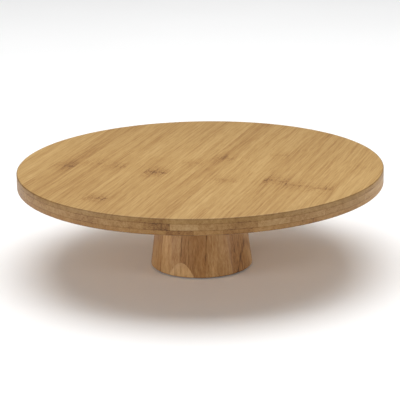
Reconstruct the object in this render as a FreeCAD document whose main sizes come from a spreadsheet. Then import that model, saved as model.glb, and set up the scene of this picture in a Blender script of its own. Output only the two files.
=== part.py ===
"""Turntable display stand: a laminated bamboo board that turns on a turned bamboo foot.

The frame: the origin is on the floor under the foot's axis, +Z is up, sizes are in millimetres.
From the top down the stand is made of
  - a round board of three bamboo plies, each glued up from parallel strips,
  - a flat ball bearing: a flanged outer ring screwed to the board, a two-part inner ring
    screwed to the foot, and a caged row of balls between them,
  - a conical foot glued up from upright bamboo boards, standing on thin silicone pads.
"""
import FreeCAD, Part
import os
import re
from math import cos, pi, sin

import Sketcher

os.makedirs("parts", exist_ok=True)
doc = FreeCAD.newDocument("turntable_display_stand")

DIMENSIONS = {
    # whole stand
    "stand_height": 85,
    # board
    "board_diameter": 300,
    "top_ply": 4,
    "core_ply": 5,
    "bottom_ply": 4,
    "rim_bevel": 0.8,
    "strip_width": 20,
    "grain_angle": 71,
    "top_seam_offset": 3,
    "core_seam_offset": 6.5,
    "bottom_seam_offset": 3.5,
    # foot
    "foot_base_diameter": 84.5,
    "foot_top_diameter": 68,
    "foot_edge_round": 1,
    "foot_board_thickness": 20,
    "foot_board_facing": -114,
    "foot_seam_offset": 0.7,
    "pad_diameter": 12,
    "pad_height": 1,
    "pad_edge": 0.3,
    "pad_circle": 66,
    "pad_angle": 81,
    # bearing rings
    "bearing_height": 8,
    "bearing_end_gap": 0.8,
    "ball_diameter": 4,
    "ball_circle": 66,
    "ball_play": 0.05,
    "race_gap": 2.4,
    "race_wall": 3.8,
    "ring_edge": 0.5,
    "flange_diameter": 92,
    "flange_thickness": 3,
    "inner_ring_bore": 28,
    # ball cage
    "cage_thickness": 1.6,
    "cage_lower_edge": 3.1,
    "cage_upper_edge": 1.3,
    "cage_play": 0.1,
    # rivets through the two halves of the inner ring
    "rivet_diameter": 2.5,
    "rivet_head_diameter": 4.4,
    "rivet_circle": 52,
    "rivet_angle": 66,
    # countersunk wood screws, outer ring to board
    "wood_screw_diameter": 3.4,
    "wood_screw_length": 10,
    "wood_screw_head": 7,
    "wood_screw_head_rim": 0.3,
    "wood_screw_point": 2.5,
    "wood_screw_circle": 84,
    "wood_screw_angle": 45,
    "pilot_spare": 0.5,
    "cross_span": 4,
    "cross_slot": 0.9,
    "cross_depth": 1.4,
    # socket head machine screws, foot to inner ring
    "foot_screw_diameter": 5,
    "foot_screw_length": 25,
    "foot_screw_head": 8.5,
    "foot_screw_head_height": 5,
    "foot_screw_circle": 44,
    "foot_screw_angle": 36,
    "socket_width": 4,
    "socket_depth": 2.5,
    "washer_diameter": 10,
    "washer_bore": 5.4,
    "washer_thickness": 1,
    "counterbore_diameter": 12,
    "counterbore_depth": 45,
    "foot_hole_diameter": 5.5,
    # clearance of a hole around its rivet or screw, on the radius
    "fastener_play": 0.05,
}

STRIPS_PER_PLY = 16
FOOT_BOARDS = 6
BALLS = 24
RIVETS = 6
WOOD_SCREWS = 4
FOOT_SCREWS = 3
PADS = 4
CUT_MARGIN = 10         # how far a cutting tool runs past what it cuts
SMALLEST_CUT = 0.01     # mm3: a cut that takes away less than this has missed
SAME_HEIGHT = 0.001     # edges closer together than this lie at one height

# Heights above the floor
FOOT_BOTTOM = "pad_height"
BOARD_BOTTOM = "(stand_height - top_ply - core_ply - bottom_ply)"
CORE_BOTTOM = "(stand_height - top_ply - core_ply)"
TOP_BOTTOM = "(stand_height - top_ply)"
FOOT_TOP = f"({BOARD_BOTTOM} - bearing_height)"
BALL_HEIGHT = f"({BOARD_BOTTOM} - bearing_height / 2)"
FLANGE_BOTTOM = f"({BOARD_BOTTOM} - flange_thickness)"
INNER_RING_TOP = f"({BOARD_BOTTOM} - bearing_end_gap)"
WASHER_TOP = f"({FOOT_BOTTOM} + counterbore_depth)"

# Radii of the bearing
INNER_RACE = "(ball_circle / 2 - race_gap / 2)"
OUTER_RACE = "(ball_circle / 2 + race_gap / 2)"
RACE_OUTSIDE = f"({OUTER_RACE} + race_wall)"


# ---------------------------------------------------------------- the dimension sheet

def make_sheet():
    """The driving dimensions, one row each: name and value, with the name as the alias."""
    sheet = doc.addObject("Spreadsheet::Sheet", "Dimensions")
    for row, (name, size) in enumerate(DIMENSIONS.items(), start=1):
        sheet.set(f"A{row}", name)
        sheet.set(f"B{row}", str(size))
        sheet.setAlias(f"B{row}", name)
    doc.recompute()


NAMES = re.compile(r"\b(" + "|".join(DIMENSIONS) + r")\b")


def formula(text):
    """A formula of dimension names as an expression that reads the sheet."""
    return NAMES.sub(r"Dimensions.\1", str(text))


def bind(thing, **properties):
    """Bind properties to formulas; a double underscore stands for a dot in a property's path."""
    for path, text in properties.items():
        thing.setExpression(path.replace("__", "."), formula(text))


# ---------------------------------------------------------------- ways of making a shape

def add(kind, name, **properties):
    thing = doc.addObject(kind, name)
    bind(thing, **properties)
    return thing


def new_body(name):
    return doc.addObject("PartDesign::Body", name)


def origin_plane(body, role):
    return next(item for item in body.Origin.OriginFeatures if item.Role == role)


def new_sketch(body, name, role):
    sketch = body.newObject("Sketcher::SketchObject", name)
    sketch.AttachmentSupport = [(origin_plane(body, role), "")]
    sketch.MapMode = "FlatFace"
    return sketch


def fix_point(sketch, geometry, point, across, up):
    """Hold one point of a sketch at two distances from the sketch's origin."""
    origin, first_point = -1, 1
    axes = {"DistanceX": (across, -2), "DistanceY": (up, -1)}
    for kind, (distance, axis) in axes.items():
        if distance == 0:
            sketch.addConstraint(Sketcher.Constraint("PointOnObject", geometry, point, axis))
            continue
        held = Sketcher.Constraint(kind, origin, first_point, geometry, point, 1.0)
        index = sketch.addConstraint(held)
        sketch.setExpression(f"Constraints[{index}]", formula(distance))


def outline(body, name, role, corners):
    """A closed outline of straight edges, each corner held at (across, up)."""
    sketch = new_sketch(body, name, role)
    count = len(corners)
    start = [FreeCAD.Vector(cos(2 * pi * i / count), sin(2 * pi * i / count), 0) for i in range(count)]
    for i in range(count):
        sketch.addGeometry(Part.LineSegment(start[i], start[(i + 1) % count]))
    for i in range(count):
        sketch.addConstraint(Sketcher.Constraint("Coincident", i, 2, (i + 1) % count, 1))
    for i, (across, up) in enumerate(corners):
        fix_point(sketch, i, 1, across, up)
    return sketch


def circle(body, name, role, across, up, radius):
    sketch = new_sketch(body, name, role)
    sketch.addGeometry(Part.Circle(FreeCAD.Vector(1, 1, 0), FreeCAD.Vector(0, 0, 1), 1.0))
    fix_point(sketch, 0, 3, across, up)
    index = sketch.addConstraint(Sketcher.Constraint("Radius", 0, 1.0))
    sketch.setExpression(f"Constraints[{index}]", formula(radius))
    return sketch


def turn(body, sketch, kind="PartDesign::Revolution"):
    """Turn a sketch about the body's Z axis, to add material or, as a groove, to remove it."""
    feature = body.newObject(kind, f"{sketch.Name}_turned")
    feature.Profile = sketch
    feature.ReferenceAxis = (sketch, ["V_Axis"])
    feature.Angle = 360
    sketch.Visibility = False
    return feature


def turned_body(name, corners):
    """A round piece with the given half section; corners are (distance from the axis, height)."""
    body = new_body(name)
    turn(body, outline(body, f"{name}_section", "XZ_Plane", corners))
    return body


def must_remove(body, make_cut):
    """Add a cutting feature and make sure that it takes material away."""
    doc.recompute()
    before = body.Shape.Volume
    make_cut()
    doc.recompute()
    if body.Shape.Volume > before - SMALLEST_CUT:
        raise RuntimeError(f"a cut in {body.Label} removes nothing")


def ball_groove(body):
    """The round track that the balls run in."""
    track = circle(body, f"{body.Name}_track", "XZ_Plane", "ball_circle / 2", BALL_HEIGHT,
                   "ball_diameter / 2 + ball_play")
    turn(body, track, "PartDesign::Groove")


def pocket_up(body, sketch, depth):
    """A recess from the body's own z = 0 face upwards."""
    pocket = body.newObject("PartDesign::Pocket", f"{sketch.Name}_pocket")
    pocket.Profile = sketch
    pocket.Reversed = True
    bind(pocket, Length=depth)
    sketch.Visibility = False


def outer_edge(feature, height):
    """The name of a round feature's largest circular edge at the given height."""
    doc.recompute()
    circles = []
    for number, edge in enumerate(feature.Shape.Edges, start=1):
        if isinstance(edge.Curve, Part.Circle) and abs(edge.Curve.Center.z - height) < SAME_HEIGHT:
            circles.append((edge.Curve.Radius, f"Edge{number}"))
    return max(circles)[1]


def place(thing, across="0", along="0", up="0"):
    bind(thing, Placement__Base__x=across, Placement__Base__y=along, Placement__Base__z=up)


def copies_in_circle(name, source, count, circle_diameter, first_angle, up):
    """A group of equal separate solids, evenly spaced round the stand's axis."""
    links = []
    for i in range(count):
        link = doc.addObject("App::Link", f"{name}_{i + 1:02d}")
        link.LinkedObject = source
        angle = f"({first_angle} + {i} * 360 / {count})"
        place(link, f"{circle_diameter} / 2 * cos({angle})", f"{circle_diameter} / 2 * sin({angle})", up)
        links.append(link)
    group = doc.addObject("Part::Compound", name)
    group.Links = links
    return group


def cut(name, base, tool):
    result = doc.addObject("Part::Cut", name)
    result.Base = base
    result.Tool = tool
    return result


def saw(blank, names, facing, nearest_seam, width):
    """Saw a blank into parallel upright slices, numbered along the direction `facing`."""
    length = f"(board_diameter + 2 * {CUT_MARGIN})"
    slices = []
    for i, name in enumerate(names):
        offset = f"({nearest_seam} + {i - len(names) // 2} * {width})"
        box = add("Part::Box", f"{name}_space", Length=width, Width=length,
                  Height=f"stand_height + {CUT_MARGIN}", Placement__Rotation__Angle=facing)
        place(box, f"{offset} * cos({facing}) + {length} / 2 * sin({facing})",
              f"{offset} * sin({facing}) - {length} / 2 * cos({facing})")
        slice_of_blank = doc.addObject("Part::Common", name)
        slice_of_blank.Base = blank
        slice_of_blank.Tool = box
        slices.append(slice_of_blank)
    return slices


# ---------------------------------------------------------------- the board

def numbered(name, count):
    return [f"{name}_{i:02d}" for i in range(1, count + 1)]


def ply_blank(name, bottom, thickness, bevelled_height=None):
    """One round ply before it is divided into strips, with its rim edge bevelled if it is outer."""
    body = new_body(name)
    disc = circle(body, f"{name}_disc", "XY_Plane", 0, 0, "board_diameter / 2")
    pad = body.newObject("PartDesign::Pad", f"{name}_pad")
    pad.Profile = disc
    bind(pad, Length=thickness)
    disc.Visibility = False
    if bevelled_height is not None:
        bevel = body.newObject("PartDesign::Chamfer", f"{name}_bevel")
        bevel.Base = (pad, [outer_edge(pad, bevelled_height)])
        bind(bevel, Size="rim_bevel")
    place(body, up=bottom)
    return body


def board():
    """Three plies of parallel strips; the screw holes stop inside the core."""
    pilot = add("Part::Cylinder", "pilot_hole", Radius="wood_screw_diameter / 2 + fastener_play",
                Height=f"{CUT_MARGIN} + wood_screw_length - flange_thickness + pilot_spare")
    holes = copies_in_circle("pilot_holes", pilot, WOOD_SCREWS, "wood_screw_circle",
                             "wood_screw_angle", f"{BOARD_BOTTOM} - {CUT_MARGIN}")
    across_grain = "(grain_angle - 90)"

    top = ply_blank("top_ply_blank", TOP_BOTTOM, "top_ply", DIMENSIONS["top_ply"])
    top_strips = saw(top, numbered("top_strip", STRIPS_PER_PLY), across_grain,
                     "top_seam_offset", "strip_width")

    core = cut("core_ply_drilled", ply_blank("core_ply_blank", CORE_BOTTOM, "core_ply"), holes)
    core_strips = saw(core, numbered("core_strip", STRIPS_PER_PLY), across_grain,
                      "core_seam_offset", "strip_width")
    core_ply = doc.addObject("Part::Compound", "core_strips")
    core_ply.Links = core_strips

    bottom_blank = ply_blank("bottom_ply_blank", BOARD_BOTTOM, "bottom_ply", 0)
    bottom = cut("bottom_ply_drilled", bottom_blank, holes)
    bottom_strips = saw(bottom, numbered("bottom_strip", STRIPS_PER_PLY), across_grain,
                        "bottom_seam_offset", "strip_width")
    return top_strips + [core_ply] + bottom_strips


# ---------------------------------------------------------------- the bearing

def outer_ring():
    """The ring under the board: a race that hangs below a flange with countersunk holes."""
    bottom = f"({FOOT_TOP} + bearing_end_gap)"
    body = turned_body("outer_ring_blank", [
        (OUTER_RACE, bottom),
        (f"{RACE_OUTSIDE} - ring_edge", bottom),
        (RACE_OUTSIDE, f"{bottom} + ring_edge"),
        (RACE_OUTSIDE, FLANGE_BOTTOM),
        ("flange_diameter / 2 - ring_edge", FLANGE_BOTTOM),
        ("flange_diameter / 2", f"{FLANGE_BOTTOM} + ring_edge"),
        ("flange_diameter / 2", BOARD_BOTTOM),
        (OUTER_RACE, BOARD_BOTTOM),
    ])
    must_remove(body, lambda: ball_groove(body))
    hole = turned_body("flange_hole", countersunk_section(
        "fastener_play", f"-{CUT_MARGIN}", "wood_screw_length"))
    holes = copies_in_circle("flange_holes", hole, WOOD_SCREWS, "wood_screw_circle",
                             "wood_screw_angle", FLANGE_BOTTOM)
    return cut("bearing_outer_ring", body, holes)


def countersunk_section(play, start, shank_end):
    """Half section of a countersunk screw, head down, or of its hole when play is added.

    It runs from the height `start`; above `shank_end` it narrows to the screw's point."""
    shank = f"(wood_screw_diameter / 2 + {play})"
    head = f"(wood_screw_head / 2 + {play})"
    cone_end = "(wood_screw_head_rim + wood_screw_head / 2 - wood_screw_diameter / 2)"
    return [(0, start), (head, start), (head, "wood_screw_head_rim"), (shank, cone_end),
            (shank, shank_end), (0, "wood_screw_length")]


def rivet_section(play, past_the_ends):
    """Half section of a rivet with a countersunk head at each end, or of its hole."""
    shank = f"(rivet_diameter / 2 + {play})"
    head = f"(rivet_head_diameter / 2 + {play})"
    cone = "(rivet_head_diameter / 2 - rivet_diameter / 2)"
    length = "(bearing_height - bearing_end_gap)"
    waist = [(head, 0), (shank, cone), (shank, f"{length} - {cone}"), (head, length)]
    if not past_the_ends:
        return [(0, 0)] + waist + [(0, length)]
    low, high = f"-{CUT_MARGIN}", f"{length} + {CUT_MARGIN}"
    return [(0, low), (head, low)] + waist + [(head, high), (0, high)]


def inner_ring_half(name, bottom, top, chamfered, holes):
    """One half of the inner ring; its free outer edge and the edge of its bore are broken."""
    free, joint = (bottom, top) if chamfered == "bottom" else (top, bottom)
    inwards = "+" if chamfered == "bottom" else "-"
    body = turned_body(f"{name}_blank", [
        ("inner_ring_bore / 2", joint),
        (INNER_RACE, joint),
        (INNER_RACE, f"{free} {inwards} ring_edge"),
        (f"{INNER_RACE} - ring_edge", free),
        ("inner_ring_bore / 2 + ring_edge", free),
        ("inner_ring_bore / 2", f"{free} {inwards} ring_edge"),
    ])
    must_remove(body, lambda: ball_groove(body))
    return cut(name, body, holes)


def inner_ring_and_rivets():
    rivet = turned_body("rivet", rivet_section("0", past_the_ends=False))
    rivets = copies_in_circle("ring_rivets", rivet, RIVETS, "rivet_circle", "rivet_angle", FOOT_TOP)

    rivet_hole = turned_body("rivet_hole", rivet_section("fastener_play", past_the_ends=True))
    rivet_holes = copies_in_circle("rivet_holes", rivet_hole, RIVETS, "rivet_circle",
                                   "rivet_angle", FOOT_TOP)
    tapped_hole = add("Part::Cylinder", "tapped_hole", Height="stand_height",
                      Radius="foot_screw_diameter / 2 + fastener_play")
    tapped_holes = copies_in_circle("tapped_holes", tapped_hole, FOOT_SCREWS, "foot_screw_circle",
                                    "foot_screw_angle", "0")
    holes = doc.addObject("Part::Compound", "inner_ring_holes")
    holes.Links = [rivet_holes, tapped_holes]

    lower = inner_ring_half("bearing_inner_ring_lower", FOOT_TOP, BALL_HEIGHT, "bottom", holes)
    upper = inner_ring_half("bearing_inner_ring_upper", BALL_HEIGHT, INNER_RING_TOP, "top", holes)
    return [lower, upper, rivets]


def balls_and_cage():
    """A crown cage: a thin ring with round pockets that are open at the top and snap over the balls."""
    ball = add("Part::Sphere", "ball", Radius="ball_diameter / 2")
    balls = copies_in_circle("bearing_balls", ball, BALLS, "ball_circle", "0", BALL_HEIGHT)

    inside = "(ball_circle / 2 - cage_thickness / 2)"
    outside = "(ball_circle / 2 + cage_thickness / 2)"
    low = f"({BALL_HEIGHT} - cage_lower_edge)"
    high = f"({BALL_HEIGHT} + cage_upper_edge)"
    ring = turned_body("cage_blank", [(inside, low), (outside, low), (outside, high), (inside, high)])
    pocket = add("Part::Sphere", "cage_pocket", Radius="ball_diameter / 2 + cage_play")
    pockets = copies_in_circle("cage_pockets", pocket, BALLS, "ball_circle", "0", BALL_HEIGHT)
    return [balls, cut("ball_cage", ring, pockets)]


def board_screws():
    """Countersunk cross-head wood screws that hold the outer ring to the board."""
    screw = turned_body("wood_screw", countersunk_section(
        "0", 0, "wood_screw_length - wood_screw_point"))
    span, slot = "cross_span / 2", "cross_slot / 2"
    quarter = [(span, slot), (slot, slot), (slot, span)]
    corners = list(quarter)
    for flip_across, flip_up in ((-1, 1), (-1, -1), (1, -1)):
        side = [(f"{flip_across} * {across}", f"{flip_up} * {up}") for across, up in quarter]
        corners += side if flip_across == flip_up else reversed(side)
    recess = outline(screw, "cross_recess", "XY_Plane", corners)
    must_remove(screw, lambda: pocket_up(screw, recess, "cross_depth"))
    return copies_in_circle("board_screws", screw, WOOD_SCREWS, "wood_screw_circle",
                            "wood_screw_angle", FLANGE_BOTTOM)


# ---------------------------------------------------------------- the foot

def foot_boards():
    """A cone turned from glued-up boards, bored from below for the screws to the inner ring."""
    body = new_body("foot_blank")
    section = outline(body, "foot_section", "XZ_Plane", [
        (0, FOOT_BOTTOM),
        ("foot_base_diameter / 2", FOOT_BOTTOM),
        ("foot_top_diameter / 2", FOOT_TOP),
        (0, FOOT_TOP),
    ])
    cone = turn(body, section)
    rounding = body.newObject("PartDesign::Fillet", "foot_base_rounding")
    rounding.Base = (cone, [outer_edge(cone, DIMENSIONS["pad_height"])])
    bind(rounding, Radius="foot_edge_round")

    bore = turned_body("foot_bore", [
        (0, f"{FOOT_BOTTOM} - {CUT_MARGIN}"),
        ("counterbore_diameter / 2", f"{FOOT_BOTTOM} - {CUT_MARGIN}"),
        ("counterbore_diameter / 2", WASHER_TOP),
        ("foot_hole_diameter / 2", WASHER_TOP),
        ("foot_hole_diameter / 2", f"{FOOT_TOP} + {CUT_MARGIN}"),
        (0, f"{FOOT_TOP} + {CUT_MARGIN}"),
    ])
    bores = copies_in_circle("foot_bores", bore, FOOT_SCREWS, "foot_screw_circle",
                             "foot_screw_angle", "0")
    drilled = cut("foot_drilled", body, bores)
    return saw(drilled, numbered("foot_board", FOOT_BOARDS), "foot_board_facing",
               "foot_seam_offset", "foot_board_thickness")


def foot_screws_and_washers():
    """Socket head screws, with washers, up through the foot into the inner ring."""
    washer = turned_body("washer", [
        ("washer_bore / 2", 0),
        ("washer_diameter / 2", 0),
        ("washer_diameter / 2", "washer_thickness"),
        ("washer_bore / 2", "washer_thickness"),
    ])
    washers = copies_in_circle("foot_washers", washer, FOOT_SCREWS, "foot_screw_circle",
                               "foot_screw_angle", f"{WASHER_TOP} - washer_thickness")

    screw = turned_body("socket_screw", [
        (0, 0),
        ("foot_screw_head / 2", 0),
        ("foot_screw_head / 2", "foot_screw_head_height"),
        ("foot_screw_diameter / 2", "foot_screw_head_height"),
        ("foot_screw_diameter / 2", "foot_screw_head_height + foot_screw_length"),
        (0, "foot_screw_head_height + foot_screw_length"),
    ])
    corner = "(socket_width / 2 / cos(30))"
    hexagon = [(f"{corner} * cos({60 * i + 30})", f"{corner} * sin({60 * i + 30})") for i in range(6)]
    socket = outline(screw, "hex_socket", "XY_Plane", hexagon)
    must_remove(screw, lambda: pocket_up(screw, socket, "socket_depth"))
    screws = copies_in_circle("foot_screws", screw, FOOT_SCREWS, "foot_screw_circle",
                              "foot_screw_angle", f"{WASHER_TOP} - washer_thickness - foot_screw_head_height")
    return [washers, screws]


def foot_pads():
    """Round silicone pads under the foot, with a small bevel where they meet the floor."""
    pad = turned_body("pad", [
        (0, 0),
        ("pad_diameter / 2 - pad_edge", 0),
        ("pad_diameter / 2", "pad_edge"),
        ("pad_diameter / 2", "pad_height"),
        (0, "pad_height"),
    ])
    return copies_in_circle("foot_pads", pad, PADS, "pad_circle", "pad_angle", "0")


# ---------------------------------------------------------------- check and write

def failed_objects():
    return [item.Name for item in doc.Objects if {"Invalid", "Error"} & set(item.State)]


def write(parts):
    """Check every object and every finished part, then write one STEP file for each part."""
    doc.recompute()
    broken = failed_objects()
    for part in parts:
        part.Label = part.Name
        if part.Shape.isNull() or not part.Shape.isValid():
            broken.append(part.Name)
    if broken:
        raise RuntimeError(f"failed: {sorted(set(broken))}")
    for part in parts:
        part.Shape.exportStep(f"parts/{part.Label}.step")
        print(f"{part.Label}: {len(part.Shape.Solids)} solid(s), {part.Shape.Volume:.1f} mm3")
    print(f"{len(parts)} parts written")


make_sheet()
finished = board()
finished += [outer_ring(), board_screws()]
finished += inner_ring_and_rivets()
finished += balls_and_cage()
finished += foot_boards()
finished += foot_screws_and_washers()
finished += [foot_pads()]
write(finished)
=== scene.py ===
"""Looks for the turntable display stand: laminated bamboo, an aluminium ball bearing and a plain studio.

Everything is in metres in the row frame. Each bamboo strip and foot board is a piece of its own,
built finely here in the place of its CAD node. The bearing's CAD pieces stay and get materials."""
from math import acos, ceil, cos, pi, radians, sin

import bmesh
import bpy
from mathutils import Matrix, Quaternion, Vector


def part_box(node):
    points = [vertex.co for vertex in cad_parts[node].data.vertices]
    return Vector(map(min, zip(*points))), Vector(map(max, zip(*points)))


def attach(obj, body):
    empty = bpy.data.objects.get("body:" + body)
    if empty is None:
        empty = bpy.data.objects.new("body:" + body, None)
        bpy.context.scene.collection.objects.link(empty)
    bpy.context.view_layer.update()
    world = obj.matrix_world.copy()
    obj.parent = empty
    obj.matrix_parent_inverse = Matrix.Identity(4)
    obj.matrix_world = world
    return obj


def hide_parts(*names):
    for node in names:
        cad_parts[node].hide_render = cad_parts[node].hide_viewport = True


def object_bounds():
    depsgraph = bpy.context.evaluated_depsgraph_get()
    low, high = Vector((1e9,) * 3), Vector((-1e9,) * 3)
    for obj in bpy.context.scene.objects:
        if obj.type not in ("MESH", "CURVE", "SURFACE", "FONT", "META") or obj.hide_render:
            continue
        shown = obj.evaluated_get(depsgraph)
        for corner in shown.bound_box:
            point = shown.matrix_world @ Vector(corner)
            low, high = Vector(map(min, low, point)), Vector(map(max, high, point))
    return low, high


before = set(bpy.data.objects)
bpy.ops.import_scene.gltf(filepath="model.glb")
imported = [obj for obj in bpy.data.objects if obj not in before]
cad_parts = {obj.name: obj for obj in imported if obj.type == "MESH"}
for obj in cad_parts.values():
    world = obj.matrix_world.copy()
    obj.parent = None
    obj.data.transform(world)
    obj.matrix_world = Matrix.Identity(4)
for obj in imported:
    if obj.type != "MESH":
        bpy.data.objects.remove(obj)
cad_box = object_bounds()

MM = 0.001

# ---------------------------------------------------------------- places read from the frame

BOARD_RADIUS = min(cad_box[1].x, cad_box[1].y, -cad_box[0].x, -cad_box[0].y)
BOARD_TOP = cad_box[1].z
TOP_PLY_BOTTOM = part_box("top_strip_01")[0].z
CORE_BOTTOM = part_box("core_strips")[0].z
BOARD_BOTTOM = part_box("bottom_strip_01")[0].z
FOOT_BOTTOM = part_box("foot_board_03")[0].z
FOOT_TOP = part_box("foot_board_03")[1].z
COUNTERBORE_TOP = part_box("foot_washers")[1].z

# ---------------------------------------------------------------- sizes that repeat the CAD's

STRIPS_PER_PLY = 16
STRIP_WIDTH = 20 * MM
GRAIN_ANGLE = radians(71)          # the strips' direction, from +X towards +Y
TOP_SEAM_OFFSET = 3 * MM
CORE_SEAM_OFFSET = 6.5 * MM
BOTTOM_SEAM_OFFSET = 3.5 * MM

FOOT_BOARDS = 6
FOOT_BASE_RADIUS = 42.25 * MM
FOOT_TOP_RADIUS = 34 * MM
FOOT_ROUND = 1.0 * MM
FOOT_BOARD_FACING = radians(-114)
FOOT_BOARD_THICKNESS = 20 * MM
FOOT_SEAM_OFFSET = 0.7 * MM

FOOT_SCREWS = 3
FOOT_SCREW_ANGLE = radians(36)
FOOT_SCREW_CIRCLE_RADIUS = 22 * MM
COUNTERBORE_RADIUS = 6 * MM
SCREW_HOLE_RADIUS = 2.75 * MM

# ---------------------------------------------------------------- sizes of this script's own

ALONG_STRIPS = (cos(GRAIN_ANGLE), sin(GRAIN_ANGLE), 0)
ACROSS_STRIPS = (sin(GRAIN_ANGLE), -cos(GRAIN_ANGLE), 0)
UPRIGHT = (0, 0, 1)
RIM_ROUND = 1.0 * MM               # a round, where the CAD has a 0.8 mm bevel
FOOT_SIDE_SEAM = -0.7 * MM         # where strips meet side by side inside each foot board
CUT_MARGIN = 10 * MM               # how far a cutting shape runs past what it cuts
FLOOR_REACH = 12                   # metres from the middle to the floor's edge

# How finely the meshes are made
ROUND_STEPS = 6                    # faces in the round of an edge
OUTLINE_STEP = 1.2 * MM            # the longest face along a strip's curved end
FEWEST_OUTLINE_STEPS = 6
FOOT_SEGMENTS = 256
BORE_SEGMENTS = 48
SHARP_ANGLE = radians(35)          # edges sharper than this are shaded as edges
SAME_PLACE = 1e-7                  # points closer than this are merged
ON_AXIS = 1e-9                     # radii smaller than this are the axis itself

# Steps between the texture seeds of neighbouring pieces, so that no two look alike
STRIP_SEED_STEP = 1.7
FOOT_SEED_STEP = 8.3


# ---------------------------------------------------------------- node helpers

class Graph:
    """Adds shader nodes to a material: inputs are sockets to link or values to set."""

    def __init__(self, name):
        self.material = bpy.data.materials.new(name)
        self.material.use_nodes = True
        self.tree = self.material.node_tree
        self.tree.nodes.clear()
        self.output = self.tree.nodes.new("ShaderNodeOutputMaterial")

    def node(self, kind, inputs=None, **settings):
        made = self.tree.nodes.new("ShaderNode" + kind)
        for key, value in settings.items():
            setattr(made, key, value)
        for key, value in (inputs or {}).items():
            self.feed(made.inputs[key], value)
        return made

    def feed(self, socket, value):
        if isinstance(value, bpy.types.NodeSocket):
            self.tree.links.new(value, socket)
        else:
            socket.default_value = value

    def math(self, operation, a, b=0.0, c=0.0, clamp=False):
        made = self.node("Math", {0: a, 1: b, 2: c}, operation=operation, use_clamp=clamp)
        return made.outputs[0]

    def attribute(self, name):
        made = self.node("Attribute", attribute_type="OBJECT", attribute_name=name)
        return made.outputs["Fac"]

    def noise(self, vector, scale, detail=3.0, roughness=0.55, seed=None, stretch=(1, 1, 1)):
        """Noise with a size of 1/scale metres, stretched along the axes."""
        scaled = self.node("VectorMath", {0: vector, 1: tuple(scale * part for part in stretch)},
                           operation="MULTIPLY").outputs[0]
        made = self.node("TexNoise", {"Vector": scaled, "Scale": 1.0, "Detail": detail,
                                      "Roughness": roughness}, noise_dimensions="4D")
        if seed is not None:
            self.feed(made.inputs["W"], seed)
        return made.outputs["Fac"]

    def ramp(self, factor, stops):
        made = self.node("ValToRGB", {"Fac": factor})
        ramp = made.color_ramp
        ramp.elements[0].position, ramp.elements[0].color = stops[0][0], (*stops[0][1], 1)
        ramp.elements[1].position, ramp.elements[1].color = stops[-1][0], (*stops[-1][1], 1)
        for position, color in stops[1:-1]:
            ramp.elements.new(position).color = (*color, 1)
        return made.outputs["Color"]

    def range(self, value, low, high, to_low=0.0, to_high=1.0):
        made = self.node("MapRange", {"Value": value, "From Min": low, "From Max": high,
                                      "To Min": to_low, "To Max": to_high})
        return made.outputs["Result"]

    def surface(self, **inputs):
        shader = self.node("BsdfPrincipled")
        for key, value in inputs.items():
            self.feed(shader.inputs[key.replace("_", " ")], value)
        self.tree.links.new(shader.outputs[0], self.output.inputs["Surface"])
        return self.material


def srgb(red, green, blue):
    """A colour given as 0 to 255 display values, in the linear values that shaders take."""
    def linear(part):
        part /= 255
        return part / 12.92 if part <= 0.04045 else ((part + 0.055) / 1.055) ** 2.4
    return linear(red), linear(green), linear(blue)


# ---------------------------------------------------------------- bamboo

def board_grain(graph):
    """Coordinates of the board: along the strips, across them, and up."""
    place = graph.node("TexCoord").outputs["Object"]
    turned = graph.node("Mapping", {"Vector": place, "Rotation": (0, 0, -GRAIN_ANGLE)})
    parts = graph.node("SeparateXYZ", {0: turned.outputs[0]}).outputs
    across = graph.math("MULTIPLY", parts[1], -1)
    return parts[0], across, parts[2]


def foot_grain(graph):
    """Coordinates of the foot: up along the grain, along its boards' faces, and through them."""
    place = graph.node("TexCoord").outputs["Object"]
    turned = graph.node("Mapping", {"Vector": place, "Rotation": (0, 0, -FOOT_BOARD_FACING)})
    parts = graph.node("SeparateXYZ", {0: turned.outputs[0]}).outputs
    return parts[2], parts[1], parts[0]


def facing(graph, direction):
    """How squarely the surface faces a direction or its opposite: 0 side on, 1 face on."""
    normal = graph.node("TexCoord").outputs["Normal"]
    turned = graph.node("VectorMath", {0: normal, 1: direction}, operation="DOT_PRODUCT")
    return graph.math("ABSOLUTE", turned.outputs["Value"])


def tinted(graph, color, tint):
    return graph.node("VectorMath", {0: color, 1: tint}, operation="MULTIPLY").outputs[0]


FAR_FROM_SEAMS = 1.0                     # metres
WHITE = (1, 1, 1)
END_GRAIN_TINT = (0.68, 0.64, 0.605)     # cut fibre ends take up more oil and look darker
RIM_PAINTED_SHADE = (0.76, 0.74, 0.71)            # painted shade: every face at the rim is made darker than the flat faces, as upright faces get less light
EDGE_TINT = (0.58, 0.55, 0.52)           # the sanded round between the rim and the flat faces
BROWN_WARMTH = (0.78, 0.68, 0.60)        # darker streaks are redder than the wood around them


def side_by_side(graph, across, seam, seed):
    """Tones of the strips that lie side by side in one piece, with a thin dark glue line between."""
    counted = graph.math("DIVIDE", graph.math("SUBTRACT", across, seam), STRIP_WIDTH)
    number = graph.math("FLOOR", counted)
    chance = graph.node("TexWhiteNoise", {"W": graph.math("ADD", number, seed)}, noise_dimensions="1D")
    own_tone = graph.math("MULTIPLY", graph.math("SUBTRACT", chance.outputs["Value"], 0.5), 0.30)
    to_seam = graph.math("ABSOLUTE", graph.math("SUBTRACT", counted, graph.math("ROUND", counted)))
    glue = graph.range(to_seam, 0.010, 0.028, -0.20, 0.0)
    return graph.math("ADD", own_tone, glue)


def glue_lines(graph, height, seams):
    """What thin dark lines of glue between the plies add to the tone, seams being their heights."""
    nearest = FAR_FROM_SEAMS
    for seam in seams:
        away = graph.math("ABSOLUTE", graph.math("SUBTRACT", height, seam))
        nearest = graph.math("MINIMUM", nearest, away)
    return graph.range(nearest, 0.1 * MM, 0.5 * MM, -0.24, 0.0)


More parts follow.
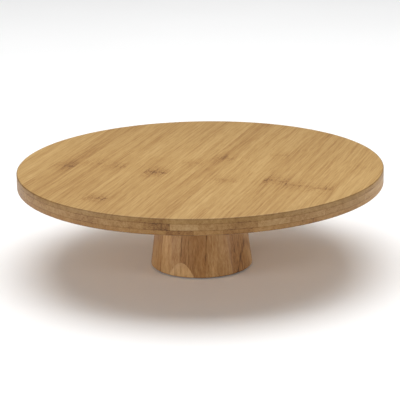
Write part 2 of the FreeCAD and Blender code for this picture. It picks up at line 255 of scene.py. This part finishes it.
def bent_fibres(graph, place, along, across, through, seed):
    """Places moved by a slow bend of the fibres, so that no streak is quite straight."""
    wander = graph.noise(place, 9, 2, seed=seed, stretch=(1, 4, 4))
    shift = graph.math("MULTIPLY", graph.math("SUBTRACT", wander, 0.5), 5 * MM)
    return graph.node("CombineXYZ", {0: along, 1: graph.math("ADD", across, shift),
                                     2: graph.math("ADD", through, shift)}).outputs[0]


def textured(graph, tone, place, bent, streaks, fibres, seed):
    """A tone varied by the wood's textures, from broad bands to single fibres, and by dark lines."""
    broad = graph.noise(bent, 170, 2, seed=seed, stretch=(0.03, 1, 1))
    patches = graph.noise(place, 45, 3, 0.6, seed=seed, stretch=(0.4, 1, 1))
    for texture, amount in ((broad, 0.50), (streaks, 0.98), (fibres, 0.82), (patches, 0.18)):
        centred = graph.math("SUBTRACT", texture, 0.5)
        tone = graph.math("MULTIPLY_ADD", centred, amount, tone)
    dark_lines = graph.range(streaks, 0.58, 0.74)
    return graph.math("MULTIPLY_ADD", dark_lines, -0.16, tone)


def knuckle_darkness(graph, place, along, seed):
    """A knuckle: a brown cloud across the strip, with short dark dashes and a thin wavy line in it."""
    ripple = graph.noise(place, 260, 4, 0.65, seed=seed, stretch=(0.5, 1, 1))
    wavy = graph.math("MULTIPLY", graph.math("SUBTRACT", ripple, 0.5), 16 * MM)
    distance = graph.math("SUBTRACT", along, graph.attribute("knuckle"))
    near = graph.math("ABSOLUTE", graph.math("ADD", distance, wavy))
    line = graph.range(near, 0.5 * MM, 2.2 * MM, 1.0, 0.0)
    cloud = graph.range(near, 2 * MM, 20 * MM, 1.0, 0.0)
    dashes = graph.noise(place, 900, 2, 0.5, seed=seed, stretch=(0.4, 1, 1))
    speckle = graph.math("MULTIPLY", graph.range(dashes, 0.48, 0.60), cloud)
    darkness = graph.math("MULTIPLY", cloud, 0.10)
    darkness = graph.math("MULTIPLY_ADD", line, 0.13, darkness)
    darkness = graph.math("MULTIPLY_ADD", speckle, 0.25, darkness)
    return graph.math("MULTIPLY", darkness, graph.attribute("knuckle_strength"))


def bamboo(name, grain, grain_direction, darkest, middle, lightest, strip_contrast=0.13,
           at_rim=False, side_seam=None):
    """Strip bamboo: fibres along the grain, a tone for each strip, and speckled brown knuckles."""
    graph = Graph(name)
    along, across, through = grain(graph)
    place = graph.node("CombineXYZ", {0: along, 1: across, 2: through}).outputs[0]
    seed = graph.attribute("seed")

    bent = bent_fibres(graph, place, along, across, through, seed)
    streaks = graph.noise(bent, 620, 3, 0.6, seed=seed, stretch=(0.018, 1, 1))
    fibres = graph.noise(bent, 2300, 2, 0.6, seed=seed, stretch=(0.03, 1, 1))
    tone = graph.math("MULTIPLY_ADD", graph.attribute("tone"), strip_contrast, 0.5)
    tone = textured(graph, tone, place, bent, streaks, fibres, seed)
    if side_seam is not None:
        tone = graph.math("ADD", tone, side_by_side(graph, across, side_seam, seed))
    if at_rim:
        tone = graph.math("ADD", tone, glue_lines(graph, through, (TOP_PLY_BOTTOM, CORE_BOTTOM)))
    tone = graph.math("SUBTRACT", tone, knuckle_darkness(graph, place, along, seed), clamp=True)

    brown = tuple(part * warmth for part, warmth in zip(middle, BROWN_WARMTH))
    color = graph.ramp(tone, ((0.0, darkest), (0.28, brown), (0.5, middle), (1.0, lightest)))
    ends = graph.ramp(facing(graph, grain_direction), ((0.0, WHITE), (0.32, END_GRAIN_TINT)))
    color = tinted(graph, color, ends)
    if at_rim:
        # Painted shade: the rim's upright faces are darkened by the way they face, and the round between
        # them and the flat faces is darker still.
        sides = ((0.15, RIM_PAINTED_SHADE), (0.35, EDGE_TINT), (0.85, EDGE_TINT), (0.99, WHITE))
        color = tinted(graph, color, graph.ramp(facing(graph, UPRIGHT), sides))
    height = graph.math("ADD", graph.math("MULTIPLY", streaks, 0.5), graph.math("MULTIPLY", fibres, 0.5))
    bump = graph.node("Bump", {"Strength": 0.25, "Distance": 0.12 * MM, "Height": height})
    roughness = graph.range(streaks, 0.25, 0.75, 0.50, 0.38)
    return graph.surface(Base_Color=color, Roughness=roughness, Normal=bump.outputs[0],
                         Specular_IOR_Level=0.25)


# ---------------------------------------------------------------- pieces of bamboo

def piece(name, mesh_builder, material, body, replaced):
    """An object from a bmesh, with its material, riding on a body in the place of a CAD node."""
    mesh = bpy.data.meshes.new(name)
    mesh_builder.to_mesh(mesh)
    mesh_builder.free()
    mesh.shade_smooth()
    mesh.set_sharp_from_angle(angle=SHARP_ANGLE)
    mesh.materials.append(material)
    made = bpy.data.objects.new(name, mesh)
    bpy.context.scene.collection.objects.link(made)
    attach(made, body)
    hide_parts(replaced)
    return made


def strip_outline(radius, low, high, steps):
    """The part of a disc between two parallel lines, as (across, along) points, anticlockwise."""
    first = acos(max(-1.0, low / radius))
    last = acos(min(1.0, high / radius))
    angles = [last + (first - last) * i / steps for i in range(steps + 1)]
    far = [(radius * cos(angle), radius * sin(angle)) for angle in angles]
    near = [(across, -along) for across, along in reversed(far)]
    return far + near


def strip_mesh(low, high, layers):
    """A strip as a stack of outlines; each layer is a height and the disc's radius there."""
    across_axis = Vector(ACROSS_STRIPS)
    along_axis = Vector(ALONG_STRIPS)
    widest = max(radius for height, radius in layers)
    arc = widest * (acos(max(-1.0, low / widest)) - acos(min(1.0, high / widest)))
    steps = max(FEWEST_OUTLINE_STEPS, ceil(arc / OUTLINE_STEP))
    shape = bmesh.new()
    rings = []
    for height, radius in layers:
        outline = strip_outline(radius, low, high, steps)
        rings.append([shape.verts.new(across * across_axis + along * along_axis + Vector((0, 0, height)))
                      for across, along in outline])
    count = len(rings[0])
    for below, above in zip(rings, rings[1:]):
        for i in range(count):
            j = (i + 1) % count
            shape.faces.new((below[i], below[j], above[j], above[i]))
    shape.faces.new(list(reversed(rings[0])))
    shape.faces.new(rings[-1])
    bmesh.ops.remove_doubles(shape, verts=shape.verts, dist=SAME_PLACE)
    bmesh.ops.recalc_face_normals(shape, faces=shape.faces)
    return shape


def rounded_layers(bottom, top, rounded):
    """Heights and radii of a ply's rim, with its top or bottom edge rounded."""
    turns = [pi / 2 * i / ROUND_STEPS for i in range(ROUND_STEPS + 1)]
    curve = [(RIM_ROUND * (1 - sin(turn)), BOARD_RADIUS - RIM_ROUND * (1 - cos(turn)))
             for turn in turns]
    if rounded == "top":
        return [(bottom, BOARD_RADIUS)] + [(top - drop, radius) for drop, radius in curve]
    if rounded == "bottom":
        return [(bottom + drop, radius) for drop, radius in reversed(curve)] + [(top, BOARD_RADIUS)]
    return [(bottom, BOARD_RADIUS), (top, BOARD_RADIUS)]


NO_KNUCKLE = 9.0                   # metres along the strip, so far off that it doesn't show

# For each strip of the top, from the left: its tone, then where its knuckle is, in millimetres
# along the strip from the middle, and how dark the knuckle is.
TOP_STRIPS = (
    (0.4, None, 0.0),
    (0.6, None, 0.0),
    (-0.5, -31, 0.6),
    (0.0, -18, 0.4),
    (-0.2, -22, 0.5),
    (0.4, -112, 1.0),
    (-0.3, -31, 1.0),
    (0.3, 4, 0.5),
    (-0.6, 24, 0.6),
    (0.4, -38, 0.5),
    (0.4, 45, 0.4),
    (-0.1, -29, 1.0),
    (0.0, -38, 0.7),
    (0.3, -41, 0.8),
    (0.3, 28, 0.3),
    (0.4, None, 0.0),
)


def board_ply(prefix, seam_offset, layers, material, looks, replaced=None):
    """All strips of one ply."""
    for i in range(STRIPS_PER_PLY):
        low = seam_offset + (i - STRIPS_PER_PLY // 2) * STRIP_WIDTH
        name = f"{prefix}_{i + 1:02d}"
        node = replaced or name
        tone, knuckle, strength = looks[i]
        made = piece(f"{name}_bamboo", strip_mesh(low, low + STRIP_WIDTH, layers), material,
                     "turntable", node)
        made["tone"] = tone
        made["knuckle"] = NO_KNUCKLE if knuckle is None else knuckle * MM
        made["knuckle_strength"] = strength
        made["seed"] = STRIP_SEED_STEP * i + len(prefix)


# Tones of the strips of the two lower plies, from the left, as their ends show at the rim
CORE_TONES = (0.2, 0.0, 0.3, 0.2, 0.4, -0.3, 0.0, 0.0, -0.9, 0.9, 0.0, -0.5, 0.8, 0.4, 0.4, 0.2)
BOTTOM_TONES = (0.2, 0.0, 0.2, 0.1, 0.2, -0.2, 0.0, 0.3, 0.2, -1.1, 0.3, -0.5, 0.6, 0.5, 0.6, 0.4)

KNUCKLE_REACH = 110                # millimetres either way from the middle
KNUCKLE_PLACE_STEP = 5.3           # angles in radians that spread places and strengths unevenly
KNUCKLE_STRENGTH_STEP = 3.1


def hidden_looks(tones, first):
    """The strips of a lower ply: their tones, and knuckles spread unevenly along them."""
    return [(tone, KNUCKLE_REACH * sin(KNUCKLE_PLACE_STEP * number),
             0.6 + 0.4 * sin(KNUCKLE_STRENGTH_STEP * number))
            for number, tone in enumerate(tones, first)]


def turned_mesh(profile, segments):
    """A solid of revolution from a half section of (radius, height) points that ends on the axis."""
    shape = bmesh.new()
    rings = []
    for radius, height in profile:
        if radius < ON_AXIS:
            rings.append([shape.verts.new((0, 0, height))] * segments)
            continue
        rings.append([shape.verts.new((radius * cos(2 * pi * i / segments),
                                       radius * sin(2 * pi * i / segments), height))
                      for i in range(segments)])
    for below, above in zip(rings, rings[1:]):
        for i in range(segments):
            j = (i + 1) % segments
            corners = []
            for corner in (below[i], below[j], above[j], above[i]):
                if corner not in corners:
                    corners.append(corner)
            if len(corners) > 2:
                shape.faces.new(corners)
    bmesh.ops.recalc_face_normals(shape, faces=shape.faces)
    return shape


def foot_profile():
    """Half section of the foot, its lower edge rounded and its upper edge, under the bearing, sharp."""
    slope = (FOOT_BASE_RADIUS - FOOT_TOP_RADIUS) / (FOOT_TOP - FOOT_BOTTOM)
    points = [(0, FOOT_BOTTOM)]
    for i in range(ROUND_STEPS + 1):
        turn = pi / 2 * i / ROUND_STEPS
        points.append((FOOT_BASE_RADIUS - FOOT_ROUND * (1 + slope) + FOOT_ROUND * sin(turn),
                       FOOT_BOTTOM + FOOT_ROUND * (1 - cos(turn))))
    points.append((FOOT_TOP_RADIUS, FOOT_TOP))
    points.append((0, FOOT_TOP))
    return points


def combined(shape, tool, operation):
    """What is left when a closed tool is taken from a closed shape, or shared with it."""
    pair = []
    for part in (shape, tool):
        mesh = bpy.data.meshes.new("combining")
        part.to_mesh(mesh)
        made = bpy.data.objects.new("combining", mesh)
        bpy.context.scene.collection.objects.link(made)
        pair.append(made)
    modifier = pair[0].modifiers.new("combine", "BOOLEAN")
    modifier.object = pair[1]
    modifier.operation = operation
    modifier.solver = "EXACT"
    finished = pair[0].evaluated_get(bpy.context.evaluated_depsgraph_get())
    result = bmesh.new()
    result.from_mesh(finished.to_mesh())
    finished.to_mesh_clear()
    for made in pair:
        bpy.data.meshes.remove(made.data)
    return result


def foot_bore(angle):
    """The stepped bore for one of the foot's screws."""
    bore = turned_mesh([
        (0, FOOT_BOTTOM - CUT_MARGIN),
        (COUNTERBORE_RADIUS, FOOT_BOTTOM - CUT_MARGIN),
        (COUNTERBORE_RADIUS, COUNTERBORE_TOP),
        (SCREW_HOLE_RADIUS, COUNTERBORE_TOP),
        (SCREW_HOLE_RADIUS, FOOT_TOP + CUT_MARGIN),
        (0, FOOT_TOP + CUT_MARGIN),
    ], BORE_SEGMENTS)
    place = FOOT_SCREW_CIRCLE_RADIUS * Vector((cos(angle), sin(angle), 0))
    bmesh.ops.translate(bore, vec=place, verts=bore.verts)
    return bore


def foot_slab(low):
    """The upright space that one foot board is sawn from."""
    slab = bmesh.new()
    bmesh.ops.create_cube(slab, size=1)
    length = 2 * FOOT_BASE_RADIUS + 2 * CUT_MARGIN
    bmesh.ops.scale(slab, vec=(FOOT_BOARD_THICKNESS, length, length), verts=slab.verts)
    bmesh.ops.translate(slab, vec=(low + FOOT_BOARD_THICKNESS / 2, 0, FOOT_TOP / 2), verts=slab.verts)
    bmesh.ops.rotate(slab, matrix=Matrix.Rotation(FOOT_BOARD_FACING, 3, "Z"), verts=slab.verts)
    return slab


# Tones of the foot boards, in their order along the direction that they face
FOOT_TONES = (0.3, 0.2, -0.3, -0.2, 0.0, 0.9)


def foot():
    material = bamboo("bamboo_foot", foot_grain, UPRIGHT,
                      srgb(76, 48, 24), srgb(157, 118, 73), srgb(198, 161, 112), side_seam=FOOT_SIDE_SEAM)
    turned = turned_mesh(foot_profile(), FOOT_SEGMENTS)
    for i in range(FOOT_SCREWS):
        turned = combined(turned, foot_bore(FOOT_SCREW_ANGLE + 2 * pi * i / FOOT_SCREWS), "DIFFERENCE")
    for i in range(FOOT_BOARDS):
        low = FOOT_SEAM_OFFSET + (i - FOOT_BOARDS // 2) * FOOT_BOARD_THICKNESS
        name = f"foot_board_{i + 1:02d}"
        made = piece(f"{name}_bamboo", combined(turned, foot_slab(low), "INTERSECT"), material,
                     "foot", name)
        made["tone"] = FOOT_TONES[i]
        made["knuckle"] = NO_KNUCKLE
        made["knuckle_strength"] = 0.0
        made["seed"] = FOOT_SEED_STEP * i


def board():
    top = bamboo("bamboo_top", board_grain, ALONG_STRIPS,
                 srgb(98, 62, 26), srgb(177, 140, 84), srgb(208, 174, 118), at_rim=True)
    core = bamboo("bamboo_core", board_grain, ALONG_STRIPS,
                  srgb(98, 64, 30), srgb(184, 146, 92), srgb(216, 184, 134),
                  strip_contrast=0.24, at_rim=True)
    bottom = bamboo("bamboo_bottom", board_grain, ALONG_STRIPS,
                    srgb(98, 62, 30), srgb(181, 139, 83), srgb(210, 174, 118),
                    strip_contrast=0.20, at_rim=True)
    board_ply("top_strip", TOP_SEAM_OFFSET, rounded_layers(TOP_PLY_BOTTOM, BOARD_TOP, "top"),
              top, TOP_STRIPS)
    board_ply("core_strip", CORE_SEAM_OFFSET, rounded_layers(CORE_BOTTOM, TOP_PLY_BOTTOM, None),
              core, hidden_looks(CORE_TONES, 1), "core_strips")
    board_ply("bottom_strip", BOTTOM_SEAM_OFFSET, rounded_layers(BOARD_BOTTOM, CORE_BOTTOM, "bottom"),
              bottom, hidden_looks(BOTTOM_TONES, 2))


# ---------------------------------------------------------------- metal, nylon and silicone

def metal(name, color, roughness, brushed):
    graph = Graph(name)
    place = graph.node("TexCoord").outputs["Object"]
    grain = graph.noise(place, brushed, 3, stretch=(1, 1, 14))
    shade = graph.ramp(grain, ((0.2, tuple(0.86 * part for part in color)), (0.8, color)))
    return graph.surface(Base_Color=shade, Metallic=1.0,
                         Roughness=graph.range(grain, 0.2, 0.8, roughness * 0.8, roughness * 1.25))


def plastic(name, color, roughness):
    graph = Graph(name)
    place = graph.node("TexCoord").outputs["Object"]
    grain = graph.noise(place, 1500, 3)
    shade = graph.ramp(grain, ((0.2, tuple(0.9 * part for part in color)), (0.8, color)))
    return graph.surface(Base_Color=shade,
                         Roughness=graph.range(grain, 0.2, 0.8, roughness, roughness * 1.2))


def dress(material, *nodes):
    for name in nodes:
        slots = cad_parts[name].material_slots
        for slot in slots:
            slot.material = material


def hardware():
    dress(metal("turned_aluminium", srgb(206, 208, 211), 0.32, 900),
          "bearing_outer_ring", "bearing_inner_ring_lower", "bearing_inner_ring_upper")
    dress(metal("zinc_plated_steel", srgb(190, 193, 197), 0.30, 1200),
          "board_screws", "foot_screws", "foot_washers", "ring_rivets")
    dress(metal("ball_steel", srgb(200, 202, 206), 0.10, 600), "bearing_balls")
    dress(plastic("cage_nylon", srgb(226, 220, 204), 0.45), "ball_cage")
    dress(plastic("pad_silicone", srgb(205, 204, 198), 0.55), "foot_pads")


# ---------------------------------------------------------------- studio

def area_light(name, place, aim, size, power):
    data = bpy.data.lights.new(name, "AREA")
    data.shape = "RECTANGLE"
    data.size, data.size_y = size
    data.energy = power
    light = bpy.data.objects.new(name, data)
    light.location = place
    light.rotation_euler = (Vector(aim) - Vector(place)).to_track_quat("-Z", "Y").to_euler()
    bpy.context.scene.collection.objects.link(light)


def studio():
    floor_mesh = bmesh.new()
    bmesh.ops.create_grid(floor_mesh, x_segments=4, y_segments=4, size=FLOOR_REACH)
    mesh = bpy.data.meshes.new("studio_floor")
    floor_mesh.to_mesh(mesh)
    floor_mesh.free()
    floor = bpy.data.objects.new("studio_floor", mesh)
    bpy.context.scene.collection.objects.link(floor)
    graph = Graph("studio_floor")
    speck = graph.noise(graph.node("TexCoord").outputs["Object"], 3, 2)
    shade = graph.ramp(speck, ((0.3, (0.93, 0.93, 0.93)), (0.7, (0.95, 0.95, 0.95))))
    mesh.materials.append(graph.surface(Base_Color=shade, Roughness=0.9))

    world = bpy.data.worlds.new("studio")
    world.use_nodes = True
    world.node_tree.nodes["Background"].inputs["Color"].default_value = (1, 1, 1, 1)
    world.node_tree.nodes["Background"].inputs["Strength"].default_value = 0.2
    bpy.context.scene.world = world

    area_light("overhead", (0, 0.1, 1.8), (0, 0, 0.08), (1.9, 1.7), 37)
    area_light("left_side", (-2.6, -1.0, 0.38), (0, 0, 0.02), (1.6, 0.64), 38)
    area_light("right_side", (2.6, -1.2, 0.38), (0, 0, 0.02), (1.6, 0.64), 30)
    area_light("front", (-0.3, -2.2, 0.8), (0, 0, 0.04), (1.4, 0.5), 8)
    area_light("backdrop", (0, 1.9, 1.8), (0, 1.9, 0), (2.5, 1.2), 9)


# The camera: its distance to the middle of the top, its angle above the horizontal, its roll, its
# lens and sensor in millimetres, and the point that it aims at
VIEW_DISTANCE = 1.3225
VIEW_ELEVATION = radians(15.37)
VIEW_ROLL = radians(1.076)
VIEW_LENS = 144.97
SENSOR_WIDTH = 36
AIM = Vector((-0.0005, 0, 0.0548))


def camera():
    data = bpy.data.cameras.new("camera")
    data.lens = VIEW_LENS
    data.sensor_width = SENSOR_WIDTH
    made = bpy.data.objects.new("camera", data)
    place = Vector((0, -VIEW_DISTANCE * cos(VIEW_ELEVATION),
                    BOARD_TOP + VIEW_DISTANCE * sin(VIEW_ELEVATION)))
    made.location = place
    looking = (AIM - place).to_track_quat("-Z", "Y")
    made.rotation_euler = (looking @ Quaternion((0, 0, 1), -VIEW_ROLL)).to_euler()
    bpy.context.scene.collection.objects.link(made)
    bpy.context.scene.camera = made


bpy.context.scene.view_settings.view_transform = "Standard"
camera()
studio()
board()
foot()
hardware()
